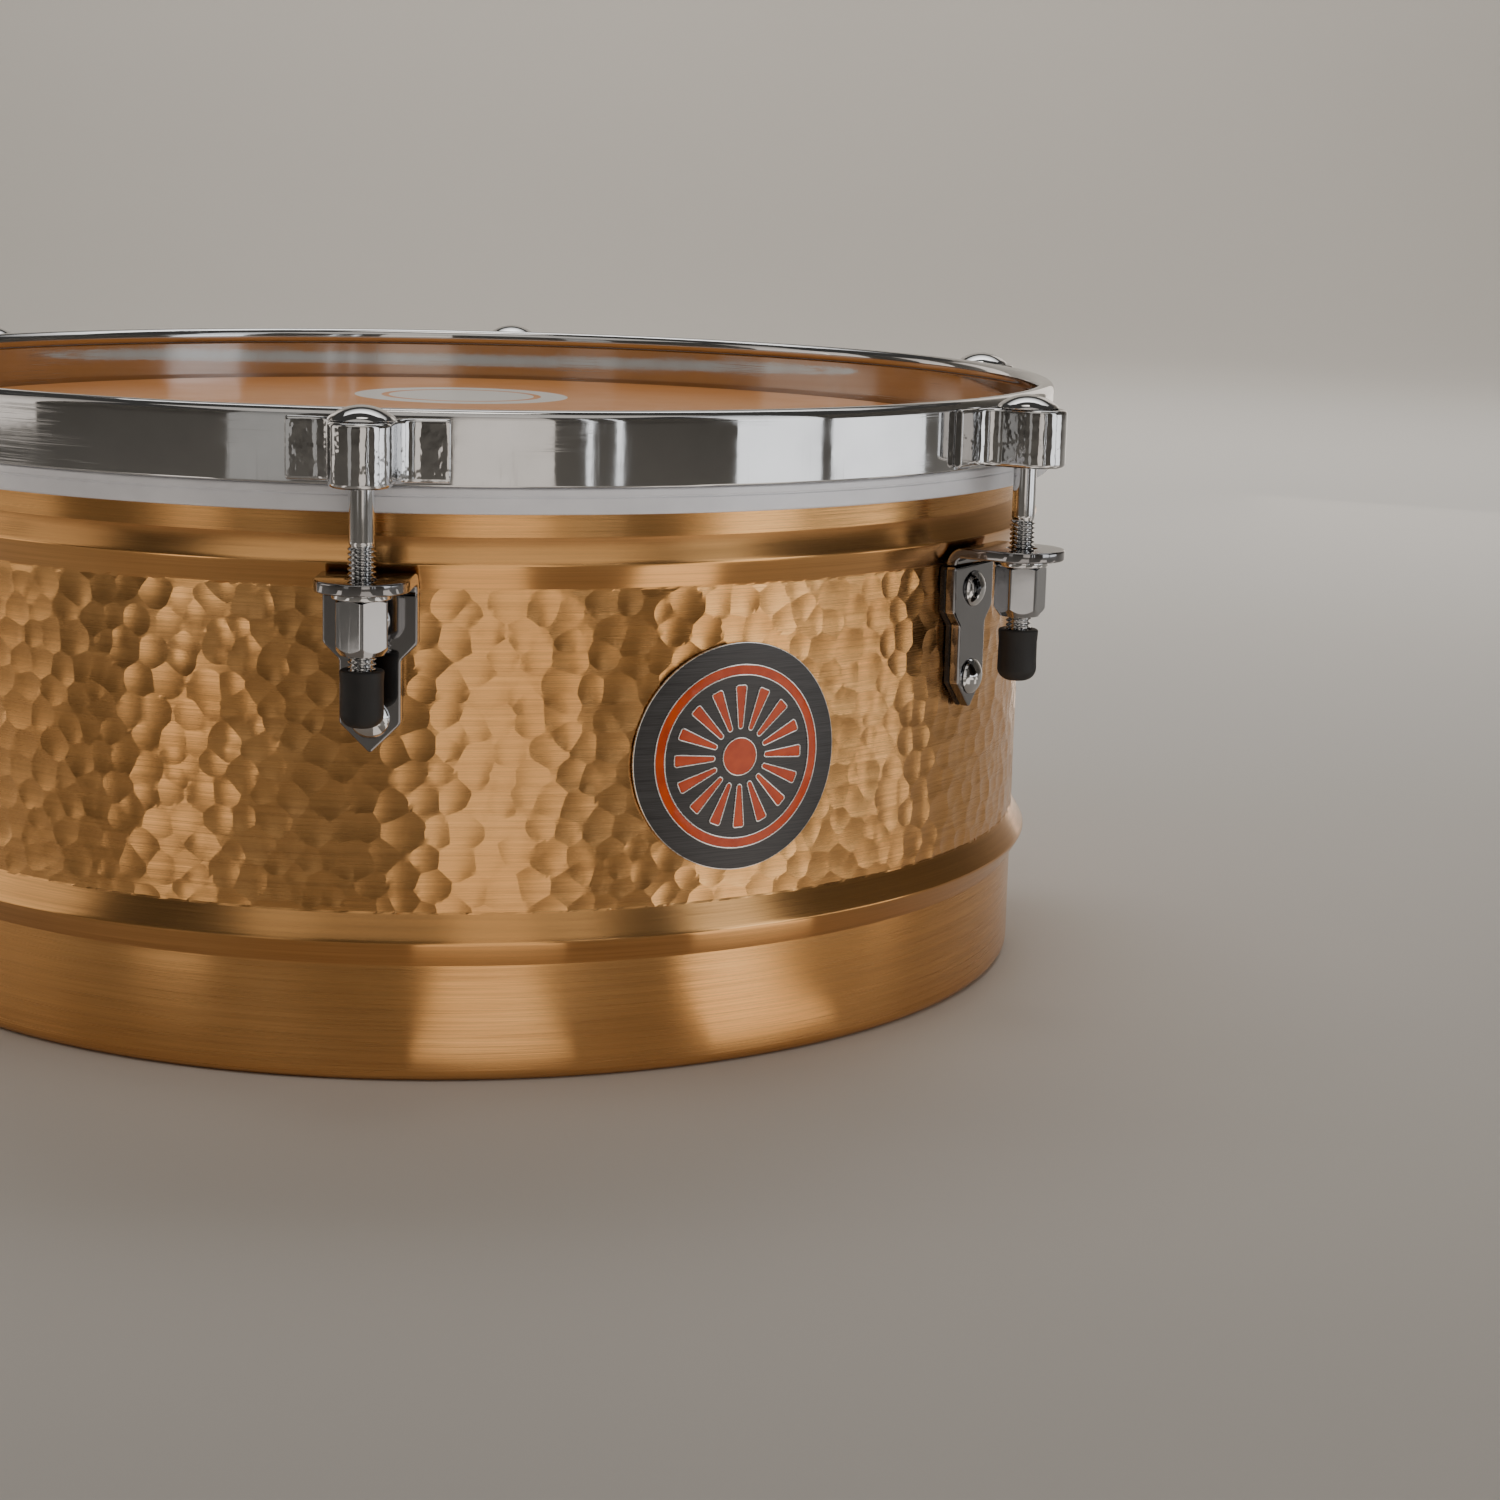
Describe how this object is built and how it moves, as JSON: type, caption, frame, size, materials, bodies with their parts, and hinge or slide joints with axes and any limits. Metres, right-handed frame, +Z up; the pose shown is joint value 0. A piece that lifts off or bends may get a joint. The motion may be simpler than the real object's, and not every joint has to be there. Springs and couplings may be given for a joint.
{
  "type": "timbale drum",
  "caption": "Single-headed shallow metal drum: hammered bronze shell open below, film head, steel hoop with strap ears, domed tension bolts, tuning nuts and flat brackets.",
  "frame": {"origin": "centre of the ring that the bottom lip rests on, on the drum's axis", "axes": "+Z up along the drum's axis, -Y towards lug 1; the other lugs follow anticlockwise seen from above"},
  "size_m": [0.3702, 0.416, 0.1774],
  "materials": {
    "hammered_bronze": "hand-hammered and brushed bronze",
    "amber_film": "translucent amber polyester film, satin",
    "satin_aluminium": "satin",
    "chromed_steel": "polished chrome plate",
    "plated_steel": "dull nickel plate",
    "black_rubber": "matt",
    "gunmetal": "brushed dark steel",
    "orange_enamel": "glossy enamel"
  },
  "bodies": {
    "drum_shell": {"shell": "hammered_bronze", "head_film": "amber_film", "lug_bracket_1": "chromed_steel", "lug_bracket_2": "chromed_steel", "lug_bracket_3": "chromed_steel", "lug_bracket_4": "chromed_steel", "lug_bracket_5": "chromed_steel", "lug_bracket_6": "chromed_steel", "lug_gasket_1": "black_rubber", "lug_gasket_2": "black_rubber", "lug_gasket_3": "black_rubber", "lug_gasket_4": "black_rubber", "lug_gasket_5": "black_rubber", "lug_gasket_6": "black_rubber", "nut_washers": "plated_steel", "bracket_screws": "chromed_steel", "inner_washers": "plated_steel", "inner_nuts": "plated_steel", "badge_pad": "black_rubber", "badge_plate": "gunmetal", "badge_enamel": "orange_enamel"},
    "hoop_assembly": {"counterhoop": "chromed_steel", "flesh_hoop": "satin_aluminium", "hoop_ear_1": "chromed_steel", "hoop_ear_2": "chromed_steel", "hoop_ear_3": "chromed_steel", "hoop_ear_4": "chromed_steel", "hoop_ear_5": "chromed_steel", "hoop_ear_6": "chromed_steel", "tension_bolt_1": "chromed_steel", "tension_bolt_2": "chromed_steel", "tension_bolt_3": "chromed_steel", "tension_bolt_4": "chromed_steel", "tension_bolt_5": "chromed_steel", "tension_bolt_6": "chromed_steel", "bolt_cap_1": "black_rubber", "bolt_cap_2": "black_rubber", "bolt_cap_3": "black_rubber", "bolt_cap_4": "black_rubber", "bolt_cap_5": "black_rubber", "bolt_cap_6": "black_rubber"},
    "nut_1": {"tuning_nut_1": "chromed_steel"},
    "nut_2": {"tuning_nut_2": "chromed_steel"},
    "nut_3": {"tuning_nut_3": "chromed_steel"},
    "nut_4": {"tuning_nut_4": "chromed_steel"},
    "nut_5": {"tuning_nut_5": "chromed_steel"},
    "nut_6": {"tuning_nut_6": "chromed_steel"}
  },
  "joints": [
    {"name": "tuning_nut_1_turn", "type": "hinge", "parent": "drum_shell", "child": "nut_1", "pos_m": [0, -0.196, 0.12295], "axis": [0, 0, -1], "range_deg": [-180, 720]},
    {"name": "tuning_nut_2_turn", "type": "hinge", "parent": "drum_shell", "child": "nut_2", "pos_m": [0.16974, -0.098, 0.12295], "axis": [0, 0, -1], "range_deg": [-180, 720]},
    {"name": "tuning_nut_3_turn", "type": "hinge", "parent": "drum_shell", "child": "nut_3", "pos_m": [0.16974, 0.098, 0.12295], "axis": [0, 0, -1], "range_deg": [-180, 720]},
    {"name": "tuning_nut_4_turn", "type": "hinge", "parent": "drum_shell", "child": "nut_4", "pos_m": [0, 0.196, 0.12295], "axis": [0, 0, -1], "range_deg": [-180, 720]},
    {"name": "tuning_nut_5_turn", "type": "hinge", "parent": "drum_shell", "child": "nut_5", "pos_m": [-0.16974, 0.098, 0.12295], "axis": [0, 0, -1], "range_deg": [-180, 720]},
    {"name": "tuning_nut_6_turn", "type": "hinge", "parent": "drum_shell", "child": "nut_6", "pos_m": [-0.16974, -0.098, 0.12295], "axis": [0, 0, -1], "range_deg": [-180, 720]},
    {"name": "head_tension", "type": "slide", "parent": "drum_shell", "child": "hoop_assembly", "axis": [0, 0, 1], "range_m": [-0.00064, 0.00254], "deforming": ["head_film"]}
  ],
  "couplings": [
    {"joint": "tuning_nut_1_turn", "follows": "head_tension", "rad_per_m": 4947.4},
    {"joint": "tuning_nut_2_turn", "follows": "head_tension", "rad_per_m": 4947.4},
    {"joint": "tuning_nut_3_turn", "follows": "head_tension", "rad_per_m": 4947.4},
    {"joint": "tuning_nut_4_turn", "follows": "head_tension", "rad_per_m": 4947.4},
    {"joint": "tuning_nut_5_turn", "follows": "head_tension", "rad_per_m": 4947.4},
    {"joint": "tuning_nut_6_turn", "follows": "head_tension", "rad_per_m": 4947.4}
  ]
}
